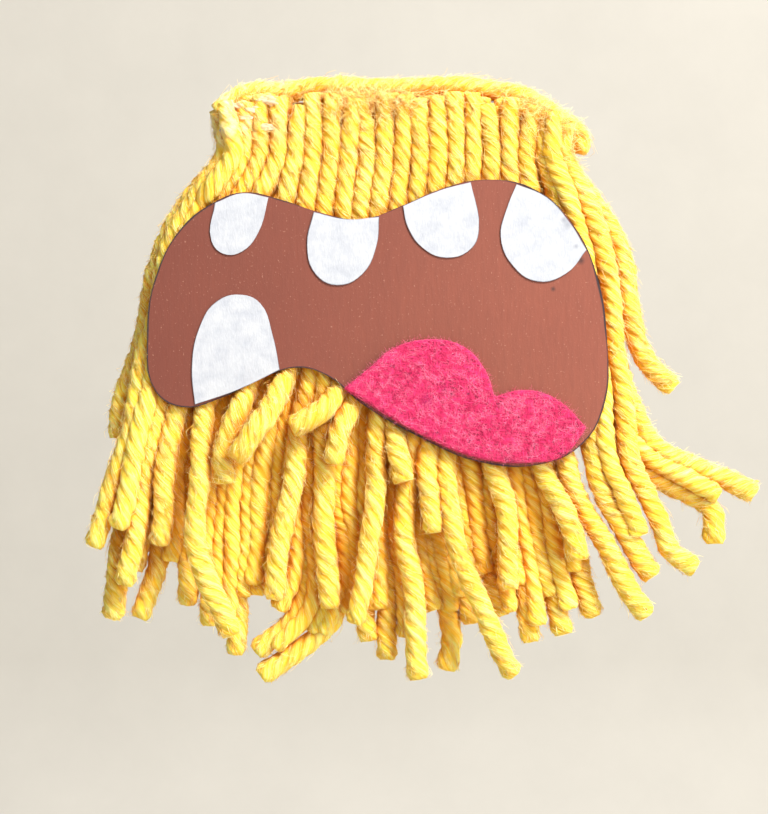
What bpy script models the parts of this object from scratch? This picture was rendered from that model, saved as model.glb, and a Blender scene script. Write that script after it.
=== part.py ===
"""Craft stick puppet: a curtain of yarn glued to a stick, with a paper mouth in front.

Frame: metres, +Z up, the puppet faces -Y. The origin is the middle of the handle's flat back,
where a hand or a stand holds it. MM turns the millimetres used below into metres.
Every free strand is a tube along a smooth line through a few hand-chosen route points.
"""
import math

import bpy
import bmesh
from mathutils import Vector

MM = 0.001

# One jumbo craft stick, 148 x 18 x 2 mm, is cut in two: a crossbar and a handle.
STICK_WIDTH = 18.0
STICK_THICK = 2.0
STICK_EDGE = 0.35
ROUND_END_STEP = 10
CROSSBAR_TOP = 41.3
CROSSBAR_LEFT = -34.0
CROSSBAR_RIGHT = 33.5
HANDLE_TOP = 40.0
HANDLE_BOTTOM = -40.0
GLUE_FILM = 0.4

# Depths, front to back. The handle's back face is y = 0 and the front is -Y.
HANDLE_Y = -STICK_THICK / 2
CROSSBAR_Y = -1.5 * STICK_THICK - GLUE_FILM
CROSSBAR_FRONT = CROSSBAR_Y - STICK_THICK / 2
BAND_BACK = CROSSBAR_FRONT - 0.1
BAND_FRONT = -11.2
CARD_BACK = -12.6
CARD_THICK = 0.4
PAPER_THICK = 0.2
FELT_THICK = 1.2
LAYER_GAP = 0.05

# Yarn: the tube is the firm core of the strand.
YARN_CORE = 2.8
TRIM_CORE = 3.2
YARN_STEP = 8.0

# Height of the band of glued strand ends, and where the free strands begin under it.
BAND_BOTTOM = 31.9
BAND_TOP = 41.0
HINGE_Z = 31.6
FRONT_HINGE_Y = -10.4
REAR_HINGE_Y = -6.9
LEFT_HINGE_X = -34.7
RIGHT_HINGE_X = 33.5
LAYER_MID_Y = -7.9

COLOURS = {
    "wood": ((0.72, 0.50, 0.34, 1), 0.65),
    "yarn": ((0.95, 0.62, 0.13, 1), 0.9),
    "card": ((0.33, 0.13, 0.09, 1), 0.6),
    "paper": ((0.85, 0.87, 0.90, 1), 0.75),
    "felt": ((0.80, 0.05, 0.16, 1), 0.95),
    "glue": ((0.90, 0.87, 0.78, 1), 0.25),
}

# Outlines in the X-Z plane, millimetres. A third value of 1 marks a sharp corner.
MOUTH = [
    (-47.5, -4.0), (-45.9, 7.2), (-40.7, 16.9), (-34.7, 21.5), (-29.3, 23.4), (-22.0, 22.0),
    (-15.0, 19.7), (-6.8, 18.3), (1.0, 20.9), (8.2, 24.0), (17.0, 25.8), (26.0, 24.0),
    (33.4, 17.2), (38.0, 7.4), (39.9, -5.3), (39.5, -16.5), (35.2, -24.4), (26.8, -28.3),
    (15.4, -27.7), (4.2, -23.0), (-7.0, -16.5), (-13.2, -11.4), (-19.0, -9.8), (-26.5, -12.2),
    (-33.5, -15.6), (-41.0, -17.3), (-45.9, -14.4),
]
UPPER_TEETH = [
    [(-34.5, 21.4, 1), (-29.3, 23.2), (-24.4, 22.4, 1), (-26.3, 15.8), (-29.4, 12.2), (-33.0, 11.8),
     (-35.2, 14.3)],
    [(-15.8, 19.7, 1), (-9.5, 18.3), (-3.4, 18.8, 1), (-3.9, 13.4), (-6.6, 7.9), (-11.4, 5.8),
     (-15.4, 7.8), (-17.1, 13.4)],
    [(1.1, 20.8, 1), (8.2, 23.8), (13.9, 25.3, 1), (15.5, 16.4), (14.2, 12.9), (9.4, 11.0),
     (4.8, 12.9), (2.0, 16.8)],
    [(22.6, 24.9, 1), (28.4, 22.4), (32.9, 17.4), (35.9, 12.5, 1), (32.0, 8.0), (26.6, 6.5),
     (22.0, 9.4), (19.6, 15.0), (20.8, 20.4)],
]
LOWER_TOOTH = [
    (-38.4, -16.8, 1), (-39.0, -10.0), (-37.6, -2.4), (-34.2, 2.8), (-29.4, 4.0), (-26.0, 2.4),
    (-23.6, -3.8), (-22.3, -10.2, 1), (-30.0, -13.9),
]
TONGUE = [
    (-10.3, -13.8, 1), (-5.4, -9.9), (-1.0, -6.2), (6.1, -4.4), (12.6, -5.8), (16.8, -10.4),
    (18.5, -15.3, 1), (23.8, -14.0), (30.0, -15.6), (36.0, -21.2, 1), (31.5, -26.6), (25.6, -27.9),
    (15.2, -27.0), (4.2, -22.4),
]

# The flattened band of strand ends follows the stick, with its corners cut for the trim strand.
BAND = [
    (-34.8, BAND_BOTTOM), (-34.8, 36.4), (-28.5, BAND_TOP), (22.5, BAND_TOP), (28.0, 37.6),
    (33.2, 33.5), (33.2, BAND_BOTTOM),
]

# The strand glued along the top edge of the stick (x, y, z).
TRIM = [
    (-34.7, -6.3, 39.3), (-31.9, -6.3, 41.2), (-27.6, -5.4, 43.2), (-21.0, -5.2, 43.1),
    (-13.7, -5.2, 44.4), (-1.3, -5.2, 43.9), (11.4, -5.2, 44.6), (20.0, -5.4, 43.4),
    (24.6, -6.3, 42.2), (29.8, -6.3, 38.9), (34.3, -6.4, 35.9), (35.4, -6.4, 33.7), (34.9, -6.6, 31.4),
]

# Free strands (x, y, z), from the band down to the cut tip.
STRANDS = {
    "left_strand": [
        [(-33.0, -6.2, 30.6), (-43.8, -6.2, 16), (-48.8, -6.0, -3), (-52.0, -6.0, -14), (-54.1, -6.5, -23.6)],
        [(-33.0, -9.6, 30.6), (-42.5, -9.6, 15), (-47.5, -9.6, -5), (-52.0, -10.0, -25), (-58.4, -11, -44.1)],
        [(-29.6, -6.2, 30.6), (-40.0, -6.2, 14), (-45.2, -6.0, -6), (-50.3, -5.5, -30), (-53.8, -6.0, -46),
         (-55.2, -7.0, -58.5)],
        [(-29.6, -9.6, 30.6), (-38.6, -9.6, 14), (-43.8, -9.6, -6), (-48.3, -10.0, -30), (-51.9, -11, -51.5)],
        [(-26.2, -6.2, 30.6), (-36.2, -6.2, 13), (-41.4, -6.0, -7), (-45.2, -5.5, -30), (-46.3, -5.5, -46),
         (-49.5, -6.5, -58.5)],
    ],
    "front_strand": [
        [(-26.2, -9.6, 30.6), (-34.6, -9.6, 13), (-40.0, -9.6, -7), (-43.6, -10.5, -25), (-45.6, -11.5, -43.7)],
        [(-22.8, -9.6, 30.6), (-30.5, -9.6, 12), (-36.0, -9.6, -12), (-37.3, -12.5, -27), (-38.4, -14.0, -39),
         (-36.4, -14.5, -49), (-31.6, -14.0, -60.7)],
        [(-19.4, -9.6, 30.6), (-24.5, -9.6, 10), (-27.2, -9.9, -10.5), (-30.8, -13.2, -19), (-33.2, -14, -26),
         (-32.3, -14.0, -32.0)],
        [(-16.0, -9.6, 30.6), (-19.3, -9.6, 8), (-20.4, -9.8, -8.0), (-22.8, -13.5, -15.5), (-27, -16.8, -21.3),
         (-30.3, -17.3, -27.0)],
        [(-12.6, -9.6, 30.6), (-15.2, -9.6, 8), (-16.4, -9.6, -8), (-17.8, -9.6, -16), (-19.2, -10.0, -26),
         (-21.6, -11.0, -40), (-23.8, -11.5, -54.1)],
        [(-9.2, -9.6, 30.6), (-11.5, -9.6, 8), (-13.3, -9.6, -8), (-14.2, -9.4, -20), (-14.0, -10.0, -36),
         (-13.1, -11.0, -55.9)],
        [(-5.8, -9.6, 30.6), (-8.0, -9.6, 8), (-9.8, -9.7, -8), (-11.6, -11.6, -14.4), (-14.8, -14.2, -18.4),
         (-19.9, -14.6, -21.2)],
        [(-2.4, -9.6, 30.6), (-4.6, -9.6, 8), (-6.3, -9.6, -10), (-9.0, -11.4, -18), (-11.3, -13.4, -23.4),
         (-12.0, -13.8, -28.0)],
        [(1.0, -9.6, 30.6), (-0.8, -9.6, 8), (-2.6, -9.6, -10), (-4.0, -10.6, -26), (-4.6, -12.0, -39),
         (-6.3, -12.8, -50), (-8.5, -13.0, -58.5)],
        [(4.4, -9.6, 30.6), (2.6, -9.6, 8), (0.8, -9.6, -10), (-0.5, -10.0, -21), (0.6, -12.6, -26.5),
         (1.2, -13.2, -31.5)],
        [(7.8, -9.6, 30.6), (6.3, -9.6, 8), (4.8, -9.6, -10), (3.4, -9.6, -22), (1.7, -9.3, -31),
         (1.5, -10.0, -41), (2.9, -11.0, -52), (4.3, -11.5, -69.4)],
        [(11.2, -9.6, 30.6), (9.8, -9.6, 8), (8.5, -9.6, -10), (6.9, -9.6, -22), (5.9, -11.3, -31),
         (6.9, -12.8, -41.3)],
        [(14.6, -9.6, 30.6), (13.5, -9.6, 8), (12.3, -9.6, -10), (10.4, -9.6, -23), (9.2, -11.0, -31),
         (10.8, -13.0, -41), (13.7, -14.0, -50), (17.3, -14.5, -58.5), (22.4, -14.5, -68.2)],
        [(18.0, -9.6, 30.6), (17.4, -9.6, 8), (17.0, -9.6, -10), (18.5, -10.0, -28), (20.8, -11.5, -38),
         (21.6, -12.0, -52.2)],
        [(21.4, -9.6, 30.6), (22.0, -9.6, 8), (23.4, -9.6, -10), (27.6, -10.0, -28), (32.2, -12.0, -38),
         (34.6, -13.0, -46.5)],
        [(24.8, -9.6, 30.6), (26.5, -9.6, 8), (28.6, -9.6, -10), (32.6, -9.6, -29), (38.8, -10.5, -42),
         (43.6, -11.0, -51), (48.0, -11.5, -57.4)],
    ],
    "right_strand": [
        [(28.2, -9.6, 30.6), (32.5, -9.6, 14), (35.5, -9.6, -8), (38.5, -9.6, -30), (44.8, -10.0, -43.5),
         (49.3, -10.5, -50.0)],
        [(31.6, -9.6, 30.6), (38.6, -9.6, 16), (42.0, -9.6, -6), (44.6, -9.6, -26), (49.2, -10.0, -37),
         (51.8, -10.0, -44), (57.6, -10.5, -48.3)],
        [(24.8, -6.2, 30.6), (32.5, -6.2, 14), (38.0, -6.0, -8), (42.5, -5.8, -24), (48.5, -5.6, -30.6),
         (55.5, -5.6, -34), (60.8, -6.0, -36.5), (61.2, -6.5, -43.9)],
        [(28.2, -6.2, 30.6), (37.0, -6.2, 15), (42.0, -6.2, -6), (45.6, -6.2, -19), (50.5, -6.0, -25.5),
         (59.0, -6.0, -29.6), (69.3, -6.5, -34.4)],
        [(31.6, -6.2, 30.6), (41.5, -6.2, 16), (45.0, -6.2, 2), (46.6, -6.2, -6), (50.0, -6.0, -11),
         (53.7, -6.5, -14.0)],
    ],
    "rear_strand": [
        [(-22.8, -6.2, 30.6), (-31.8, -6.2, 12), (-37.0, -6.2, -8), (-40.0, -5.8, -30), (-40.8, -6.5, -55.9)],
        [(-19.4, -6.2, 30.6), (-27.5, -6.2, 11), (-32.0, -6.2, -8), (-35.2, -6.0, -32), (-36.4, -6.8, -59.8)],
        [(-16.0, -6.2, 30.6), (-23.0, -6.2, 10), (-27.0, -6.2, -8), (-30.0, -6.0, -32), (-31.2, -7.0, -65.5)],
        [(-12.6, -6.2, 30.6), (-18.5, -6.2, 10), (-22.0, -6.2, -8), (-25.0, -6.0, -32), (-27.4, -7.0, -54.0)],
        [(-9.2, -6.2, 30.6), (-14.0, -6.2, 8), (-17.2, -6.2, -10), (-19.0, -6.0, -34), (-17.5, -6.0, -50),
         (-20.6, -6.5, -59), (-27.2, -7.0, -65.1)],
        [(-5.8, -6.2, 30.6), (-9.5, -6.2, 8), (-12.0, -6.2, -10), (-13.5, -6.0, -34), (-10.8, -6.0, -52),
         (-13.5, -6.0, -60), (-20.0, -6.3, -65.5), (-26.4, -7.0, -69.6)],
        [(-2.4, -6.2, 30.6), (-5.2, -6.2, 8), (-7.2, -6.2, -12), (-7.8, -6.0, -36), (-5.6, -6.8, -62.9)],
        [(1.0, -6.2, 30.6), (-1.0, -6.2, 8), (-2.4, -6.2, -12), (-2.6, -6.0, -36), (-1.6, -7.0, -66.3)],
        [(4.4, -6.2, 30.6), (3.2, -6.2, 8), (2.6, -6.2, -12), (4.6, -6.0, -36), (10.2, -6.5, -60),
         (9.8, -7.0, -68.6)],
        [(7.8, -6.2, 30.6), (7.6, -6.2, 8), (8.0, -6.2, -12), (10.5, -6.0, -36), (14.8, -6.8, -59.5)],
        [(11.2, -6.2, 30.6), (12.0, -6.2, 8), (13.2, -6.2, -12), (16.5, -6.0, -36), (20.2, -7.0, -58.0)],
        [(14.6, -6.2, 30.6), (16.5, -6.2, 8), (18.4, -6.2, -12), (22.0, -6.0, -36), (26.3, -7.0, -63.0)],
        [(18.0, -6.2, 30.6), (21.0, -6.2, 8), (23.6, -6.2, -12), (27.5, -6.0, -36), (32.0, -7.0, -61.5)],
        [(21.4, -6.2, 30.6), (25.8, -6.2, 8), (29.0, -6.2, -12), (33.0, -6.0, -36), (37.8, -7.0, -58.2)],
    ],
}

# Where each group of strands turns: its hinge point in millimetres.
HINGES = {
    "left_strand": (LEFT_HINGE_X, LAYER_MID_Y, HINGE_Z),
    "front_strand": (0.0, FRONT_HINGE_Y, HINGE_Z),
    "right_strand": (RIGHT_HINGE_X, LAYER_MID_Y, HINGE_Z),
    "rear_strand": (0.0, REAR_HINGE_Y, HINGE_Z),
}

# Dabs of hot glue: name, centre and half sizes (x, y, z).
HANDLE_GLUE = ("handle_glue", (0.0, -STICK_THICK - GLUE_FILM / 2, 32.0), (7.5, 0.15, 6.0))
CORNER_GLUE = ("corner_glue", (-31.2, BAND_FRONT - 0.35, 34.9), (2.6, 0.3, 2.3))
MOUTH_GLUE_Y = (BAND_FRONT + CARD_BACK) / 2
MOUTH_GLUE = [(-31.0, 2.0), (-4.0, 4.0), (25.0, 2.0)]
MOUTH_GLUE_HALF = (6.0, 0.6, 5.0)

for old in list(bpy.data.objects):
    bpy.data.objects.remove(old, do_unlink=True)

parts = bpy.data.collections.new("craft_stick_puppet")
bpy.context.scene.collection.children.link(parts)


def make_material(name):
    colour, roughness = COLOURS[name]
    material = bpy.data.materials.new(name)
    material.use_nodes = True
    shader = material.node_tree.nodes["Principled BSDF"]
    shader.inputs["Base Color"].default_value = colour
    shader.inputs["Roughness"].default_value = roughness
    shader.inputs["Metallic"].default_value = 0.0
    return material


MATERIALS = {name: make_material(name) for name in COLOURS}


def keep(obj, material, parent=None):
    """Put a finished object in the part's collection with its material and parent."""
    for collection in list(obj.users_collection):
        collection.objects.unlink(obj)
    parts.objects.link(obj)
    obj.data.materials.clear()
    obj.data.materials.append(MATERIALS[material])
    if parent is not None:
        obj.parent = parent
        obj.matrix_parent_inverse = parent.matrix_world.inverted()
    return obj


def make_hinge(name, point):
    """An empty on the hinge line, as the parent of what swings there."""
    hinge = bpy.data.objects.new(name + "_hinge", None)
    hinge.location = Vector(point) * MM
    parts.objects.link(hinge)
    bpy.context.view_layer.update()
    return hinge


def flat_piece(name, outline, middle_y, thick, material, parent=None, edge=0.0):
    """A flat outline in the X-Z plane with rounded stretches between its sharp corners."""
    curve = bpy.data.curves.new(name, "CURVE")
    curve.dimensions = "2D"
    curve.fill_mode = "BOTH"
    curve.resolution_u = 5
    curve.extrude = (thick / 2 - edge) * MM
    curve.bevel_depth = edge * MM
    curve.bevel_resolution = 1
    curve.offset = -edge * MM
    spline = curve.splines.new("BEZIER")
    spline.bezier_points.add(len(outline) - 1)
    spline.use_cyclic_u = True
    for knot, point in zip(spline.bezier_points, outline):
        sharp = len(point) > 2
        knot.co = (point[0] * MM, point[1] * MM, 0)
        knot.handle_left_type = "VECTOR" if sharp else "AUTO"
        knot.handle_right_type = "VECTOR" if sharp else "AUTO"
    obj = bpy.data.objects.new(name, curve)
    obj.location = (0, middle_y * MM, 0)
    obj.rotation_euler = (math.pi / 2, 0, 0)
    bpy.context.view_layer.update()
    return keep(obj, material, parent)


def polygon_piece(name, outline, front, back, material):
    """A straight-sided slab between two depths, raised from its outline by an extrusion."""
    mesh = bpy.data.meshes.new(name)
    bm = bmesh.new()
    corners = [bm.verts.new((x * MM, back * MM, z * MM)) for x, z in outline]
    face = bm.faces.new(corners)
    grown = bmesh.ops.extrude_face_region(bm, geom=[face])["geom"]
    moved = [v for v in grown if isinstance(v, bmesh.types.BMVert)]
    bmesh.ops.translate(bm, verts=moved, vec=(0, (front - back) * MM, 0))
    bmesh.ops.recalc_face_normals(bm, faces=bm.faces)
    bm.to_mesh(mesh)
    bm.free()
    obj = bpy.data.objects.new(name, mesh)
    bpy.context.scene.collection.objects.link(obj)
    return keep(obj, material)


def half_stick(name, left_or_top, right_or_bottom, middle, turn, middle_y):
    """Half a craft stick: cut square at one end and round at the other, with eased edges.

    Its outline is drawn lying along X with the round end at +X, and turned about Y if it stands.
    """
    radius = STICK_WIDTH / 2
    half = abs(right_or_bottom - left_or_top) / 2
    arc = [math.radians(a) for a in range(-90, 91, ROUND_END_STEP)]
    outline = [(half - radius + radius * math.cos(a), radius * math.sin(a)) for a in arc]
    outline += [(-half, radius), (-half, -radius)]
    obj = polygon_piece(name, outline, -STICK_THICK / 2, STICK_THICK / 2, "wood")
    obj.location = Vector((middle[0], middle_y, middle[1])) * MM
    obj.rotation_euler = (0, turn, 0)
    bevel = obj.modifiers.new("eased_edge", "BEVEL")
    bevel.width = STICK_EDGE * MM
    bevel.segments = 2
    bevel.limit_method = "ANGLE"
    bevel.angle_limit = math.radians(40)
    return obj


def smooth_line(route, step):
    """Points along a Catmull-Rom line through the route, about one step apart (millimetres)."""
    knots = [Vector(p) for p in route]
    ends = [2 * knots[0] - knots[1]] + knots + [2 * knots[-1] - knots[-2]]
    line = []
    for a, b, c, d in zip(ends, ends[1:], ends[2:], ends[3:]):
        count = max(1, round((c - b).length / step))
        for i in range(count):
            t = i / count
            line.append(0.5 * (2 * b + (c - a) * t + (2 * a - 5 * b + 4 * c - d) * t ** 2
                               + (3 * b - a - 3 * c + d) * t ** 3))
    return line + [knots[-1]]


def yarn(name, route, core, parent=None):
    """A strand as a round tube with closed ends."""
    curve = bpy.data.curves.new(name, "CURVE")
    curve.dimensions = "3D"
    curve.bevel_depth = core / 2 * MM
    curve.bevel_resolution = 2
    curve.use_fill_caps = True
    line = smooth_line(route, YARN_STEP)
    spline = curve.splines.new("POLY")
    spline.points.add(len(line) - 1)
    for knot, point in zip(spline.points, line):
        knot.co = (*(point * MM), 1)
    obj = bpy.data.objects.new(name, curve)
    bpy.context.scene.collection.objects.link(obj)
    return keep(obj, "yarn", parent)


def dab(name, centre, half, parent=None):
    """A flattened dab of hot glue."""
    bpy.ops.mesh.primitive_uv_sphere_add(segments=16, ring_count=8, radius=1)
    obj = bpy.context.object
    obj.name = name
    obj.scale = Vector(half) * MM
    bpy.ops.object.transform_apply(location=False, rotation=False, scale=True)
    obj.location = Vector(centre) * MM
    bpy.context.view_layer.update()
    return keep(obj, "glue", parent)


# The frame: crossbar and handle are the two halves of one stick, glued crosswise.
crossbar_middle = ((CROSSBAR_RIGHT + CROSSBAR_LEFT) / 2, CROSSBAR_TOP - STICK_WIDTH / 2)
half_stick("crossbar_stick", CROSSBAR_LEFT, CROSSBAR_RIGHT, crossbar_middle, 0, CROSSBAR_Y)
handle_middle = (0, (HANDLE_TOP + HANDLE_BOTTOM) / 2)
half_stick("handle_stick", HANDLE_TOP, HANDLE_BOTTOM, handle_middle, math.pi / 2, HANDLE_Y)
dab(*HANDLE_GLUE)

# What is glued to the crossbar for good.
polygon_piece("strand_tops", BAND, BAND_FRONT, BAND_BACK, "yarn")
yarn("trim_strand", TRIM, TRIM_CORE)
dab(*CORNER_GLUE)

# The four groups of hanging strands, each under its own hinge.
hinges = {}
for group, routes in STRANDS.items():
    hinges[group] = make_hinge(group, HINGES[group])
    for number, route in enumerate(routes, 1):
        yarn(f"{group}_{number:02d}", route, YARN_CORE, hinges[group])

# The mouth rides on the front strands.
front = hinges["front_strand"]
for number, (x, z) in enumerate(MOUTH_GLUE, 1):
    dab(f"mouth_glue_{number}", (x, MOUTH_GLUE_Y, z), MOUTH_GLUE_HALF, front)
card_middle = CARD_BACK - CARD_THICK / 2
flat_piece("mouth_card", MOUTH, card_middle, CARD_THICK, "card", front)
on_card = CARD_BACK - CARD_THICK - LAYER_GAP
for number, tooth in enumerate(UPPER_TEETH, 1):
    flat_piece(f"upper_tooth_{number}", tooth, on_card - PAPER_THICK / 2, PAPER_THICK, "paper", front)
flat_piece("lower_tooth", LOWER_TOOTH, on_card - PAPER_THICK / 2, PAPER_THICK, "paper", front)
flat_piece("tongue", TONGUE, on_card - FELT_THICK / 2, FELT_THICK, "felt", front)
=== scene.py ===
# %% [markdown]
# # Craft stick puppet: the looks
#
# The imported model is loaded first. It holds the sticks, the strands' routes and everything
# that moves, and it isn't changed here. This script gives it yarn, felt, card, paper, wood
# and glue that look like the real things.
#
# The puppet is a curtain of yellow yarn hanging from a craft stick, with a cut-card mouth
# glued to the front strands. It is about 130 mm wide and faces -Y.

# %% Load the frame
import math
import random

import bmesh
import bpy
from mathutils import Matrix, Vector, noise
from mathutils.bvhtree import BVHTree


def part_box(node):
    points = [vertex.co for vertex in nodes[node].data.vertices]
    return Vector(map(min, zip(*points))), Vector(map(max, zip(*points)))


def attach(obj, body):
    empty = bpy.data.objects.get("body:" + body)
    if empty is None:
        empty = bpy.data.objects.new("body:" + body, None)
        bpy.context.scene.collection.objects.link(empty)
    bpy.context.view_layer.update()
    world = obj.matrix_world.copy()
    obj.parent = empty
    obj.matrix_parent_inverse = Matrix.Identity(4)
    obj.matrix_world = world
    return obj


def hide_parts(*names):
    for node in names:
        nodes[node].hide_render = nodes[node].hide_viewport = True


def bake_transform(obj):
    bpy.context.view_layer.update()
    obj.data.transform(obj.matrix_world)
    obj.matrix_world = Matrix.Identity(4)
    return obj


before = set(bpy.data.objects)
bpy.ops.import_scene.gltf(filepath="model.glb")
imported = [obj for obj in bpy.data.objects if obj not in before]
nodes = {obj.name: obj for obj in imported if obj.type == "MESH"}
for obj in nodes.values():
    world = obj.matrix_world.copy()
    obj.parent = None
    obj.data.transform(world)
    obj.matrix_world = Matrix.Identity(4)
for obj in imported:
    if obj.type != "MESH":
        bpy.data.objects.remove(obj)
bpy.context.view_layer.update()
MM = 0.001

# %% [markdown]
# ## Camera
#
# A phone held close and square to the puppet sees it with a little perspective. A lens of
# about 100 mm on a 36 mm sensor, 0.4 m from the mouth, gives the same slight convergence.
# Turning the camera object with `to_track_quat` is simpler than working out its angles.

# %% Camera
VIEW_WIDTH = 146.0 * MM
VIEW_MIDDLE = Vector((-2.5, -13.0, -17.3)) * MM
CAMERA_DISTANCE = 0.40
CAMERA_RISE = math.radians(2)

lens = bpy.data.cameras.new("camera")
lens.sensor_fit = "HORIZONTAL"
lens.lens = lens.sensor_width * CAMERA_DISTANCE / VIEW_WIDTH
lens.clip_start = 0.01
camera = bpy.data.objects.new("camera", lens)
bpy.context.scene.collection.objects.link(camera)
back_off = Vector((0, -math.cos(CAMERA_RISE), math.sin(CAMERA_RISE))) * CAMERA_DISTANCE
camera.location = VIEW_MIDDLE + back_off
camera.rotation_euler = (-back_off).to_track_quat("-Z", "Y").to_euler()
bpy.context.scene.camera = camera
print("camera lens", round(lens.lens, 1), "mm")

# %% [markdown]
# ## Node helpers
#
# Every finish below is a small graph of shader nodes. A few helpers keep the graphs short:
# `node` adds one and fills its sockets, and `calc`, `ramp`, `mix` and `bump` add the kinds
# that are used most. A socket is given either a value or another node's output, and an
# output becomes a link.

# %% Node helpers
def node(tree, kind, output=0, settings=None, **sockets):
    """Add a node, set its settings and sockets, and return one of its outputs."""
    made = tree.nodes.new(kind)
    for name, value in (settings or {}).items():
        setattr(made, name, value)
    for name, value in sockets.items():
        key = int(name[1:]) if name[1:].isdigit() else name.replace("_", " ")
        if isinstance(value, bpy.types.NodeSocket):
            tree.links.new(value, made.inputs[key])
        else:
            made.inputs[key].default_value = value
    return made.outputs[output]


def calc(tree, operation, a, b=0.0, clamp=False):
    """A Math node."""
    return node(tree, "ShaderNodeMath", settings={"operation": operation, "use_clamp": clamp}, i0=a, i1=b)


def ramp(tree, factor, *stops):
    """A colour ramp with (position, colour) stops."""
    made = tree.nodes.new("ShaderNodeValToRGB")
    tree.links.new(factor, made.inputs[0])
    stop_list = made.color_ramp.elements
    while len(stop_list) < len(stops):
        stop_list.new(0.5)
    for stop, (position, colour) in zip(stop_list, stops):
        stop.position = position
        stop.color = (*colour, 1) if len(colour) == 3 else colour
    return made.outputs[0]


def mix(tree, factor, a, b):
    """Mix two colours."""
    made = tree.nodes.new("ShaderNodeMix")
    made.data_type = "RGBA"
    for key, value in ((0, factor), (6, a), (7, b)):
        if isinstance(value, bpy.types.NodeSocket):
            tree.links.new(value, made.inputs[key])
        else:
            made.inputs[key].default_value = value if key == 0 else (*value, 1)
    return made.outputs[2]


def bump(tree, height, strength, distance):
    """A bumped normal; the distance is in metres."""
    return node(tree, "ShaderNodeBump", Height=height, Strength=strength, Distance=distance)


def new_material(name):
    """A material with a Principled shader; returns the material, its tree and the shader."""
    material = bpy.data.materials.new(name)
    material.use_nodes = True
    tree = material.node_tree
    return material, tree, tree.nodes["Principled BSDF"]


def group_io(name, inputs, outputs):
    """An empty node group with float or vector sockets; returns its tree, inputs and output node."""
    tree = bpy.data.node_groups.new(name, "ShaderNodeTree")
    for socket, kind in inputs:
        tree.interface.new_socket(socket, in_out="INPUT", socket_type=kind)
    for socket, kind in outputs:
        tree.interface.new_socket(socket, in_out="OUTPUT", socket_type=kind)
    return tree, tree.nodes.new("NodeGroupInput"), tree.nodes.new("NodeGroupOutput")


# %% [markdown]
# ## Shared effects
#
# Yarn, felt, card, paper and wood are all made of fibres. One group makes a fibre pattern:
# noise that is stretched along one axis by its Scale, sharpened into threads. Each material
# places it with its own scale and contrast. It puts out a mask, so it can drive colour and
# bump.

# %% Fibre group
fibre_tree, fibre_in, fibre_out = group_io(
    "fibre_mask",
    [("Vector", "NodeSocketVector"), ("Scale", "NodeSocketVector"), ("Sharpness", "NodeSocketFloat")],
    [("Mask", "NodeSocketFloat")])
stretched = node(fibre_tree, "ShaderNodeVectorMath", settings={"operation": "MULTIPLY"},
                 i0=fibre_in.outputs["Vector"], i1=fibre_in.outputs["Scale"])
threads = node(fibre_tree, "ShaderNodeTexNoise", Vector=stretched, Scale=1.0, Detail=3.0, Roughness=0.6,
               Distortion=0.4)
centred = calc(fibre_tree, "SUBTRACT", threads, 0.5)
sharpened = calc(fibre_tree, "MULTIPLY", centred, fibre_in.outputs["Sharpness"])
fibre_tree.links.new(calc(fibre_tree, "ADD", sharpened, 0.5, clamp=True), fibre_out.inputs["Mask"])
print("fibre group:", len(fibre_tree.nodes), "nodes")


def fibre_mask(tree, vector, scale, sharpness):
    """Place the fibre group in a material and return its mask."""
    made = tree.nodes.new("ShaderNodeGroup")
    made.node_tree = fibre_tree
    tree.links.new(vector, made.inputs["Vector"])
    made.inputs["Scale"].default_value = scale
    made.inputs["Sharpness"].default_value = sharpness
    return made.outputs["Mask"]


# %% [markdown]
# Two more effects are used by several pieces. A soft mark is a round smudge of pencil or dye
# where a finger has been. A drawn line is a dark line along a cut edge that fades in and out.
# On the card it is what is left of a pencil outline after scissors have cut along it, inside
# it in some places and outside it in others. Both put out a mask, and each material gives its
# own place and size.

# %% Soft mark group
mark_tree, mark_in, mark_out = group_io(
    "soft_mark",
    [("Vector", "NodeSocketVector"), ("Centre", "NodeSocketVector"), ("Size", "NodeSocketFloat")],
    [("Mask", "NodeSocketFloat")])
offset = node(mark_tree, "ShaderNodeVectorMath", settings={"operation": "SUBTRACT"},
              i0=mark_in.outputs["Vector"], i1=mark_in.outputs["Centre"])
away = node(mark_tree, "ShaderNodeVectorMath", output=1, settings={"operation": "LENGTH"}, i0=offset)
core = calc(mark_tree, "MULTIPLY", mark_in.outputs["Size"], 0.2)
faded = node(mark_tree, "ShaderNodeMapRange", i0=away, i1=mark_in.outputs["Size"], i2=core, i3=0.0, i4=0.75)
mark_tree.links.new(faded, mark_out.inputs["Mask"])


def smudged(tree, coords, base, front, spots, mottle, colour):
    """The base colour with a few soft marks: each spot is (x, z, size) in mm on the front face."""
    for x, z, size in spots:
        made = tree.nodes.new("ShaderNodeGroup")
        made.node_tree = mark_tree
        tree.links.new(coords.outputs["Object"], made.inputs["Vector"])
        made.inputs["Centre"].default_value = (x * MM, front, z * MM)
        made.inputs["Size"].default_value = size * MM
        base = mix(tree, calc(tree, "MULTIPLY", made.outputs["Mask"], mottle), base, colour)
    return base


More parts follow.
